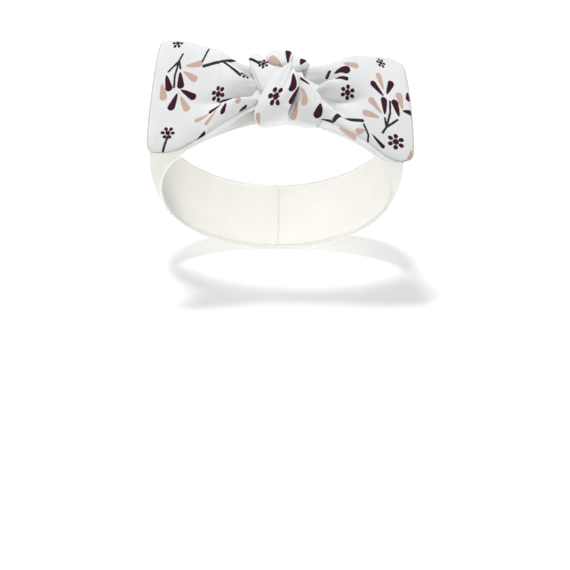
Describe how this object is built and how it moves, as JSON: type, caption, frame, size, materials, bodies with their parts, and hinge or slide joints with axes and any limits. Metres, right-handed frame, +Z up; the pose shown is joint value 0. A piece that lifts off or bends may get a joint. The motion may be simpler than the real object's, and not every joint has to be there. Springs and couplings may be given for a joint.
{
  "type": "knotted bow headband",
  "caption": "Baby headband: a wide soft jersey ring with a printed jersey tie knotted round its front, whose two free ends spread into bow wings.",
  "frame": {"origin": "centre of the head that the band goes round, which is the centre of the ring", "axes": "+Z up as worn, -Y towards the front, where the bow is, +X along the bow; the ring's axis leans back, 50 degrees from +Z towards +Y"},
  "size_m": [0.1521, 0.1313, 0.1457],
  "materials": {
    "plain_jersey": "off-white cotton jersey, fine ribs, matt",
    "plain_seams": "off-white turned jersey seam, matt",
    "printed_jersey": "white cotton jersey printed with plum, dusty pink and dark green flowers, matt",
    "tie_seams": "turned jersey seam, matt"
  },
  "bodies": {
    "band": {"band_outer": "plain_jersey", "band_lining": "plain_jersey", "band_upper_seam": "plain_seams", "band_lower_seam": "plain_seams", "band_back_seam": "plain_seams"},
    "knot": {"tie_inner_pass": "printed_jersey", "knot_front_wrap": "printed_jersey", "knot_middle_fold": "printed_jersey", "knot_right_fold": "printed_jersey", "knot_upper_wrap": "printed_jersey", "knot_left_fold": "printed_jersey", "knot_right_lobe": "printed_jersey", "knot_core": "printed_jersey"},
    "left_tail": {"left_tail_front": "printed_jersey", "left_tail_back": "printed_jersey", "left_tail_seam": "tie_seams"},
    "right_tail": {"right_tail_front": "printed_jersey", "right_tail_back": "printed_jersey", "right_tail_seam": "tie_seams"}
  },
  "joints": [
    {"name": "bow_slide", "type": "hinge", "parent": "band", "child": "knot", "pos_m": [0, 0, 0], "axis": [0, 0.766, 0.6428], "range_deg": [-12, 12]},
    {"name": "left_tail_flex", "type": "hinge", "parent": "knot", "child": "left_tail", "pos_m": [-0.0175, -0.05534, 0.06517], "axis": [0, 0.766, 0.6428], "range_deg": [-12, 55], "stiffness_Nm_per_rad": 0.15},
    {"name": "right_tail_flex", "type": "hinge", "parent": "knot", "child": "right_tail", "pos_m": [0.027, -0.05597, 0.06204], "axis": [0, -0.766, -0.6428], "range_deg": [-12, 55], "stiffness_Nm_per_rad": 0.15}
  ]
}
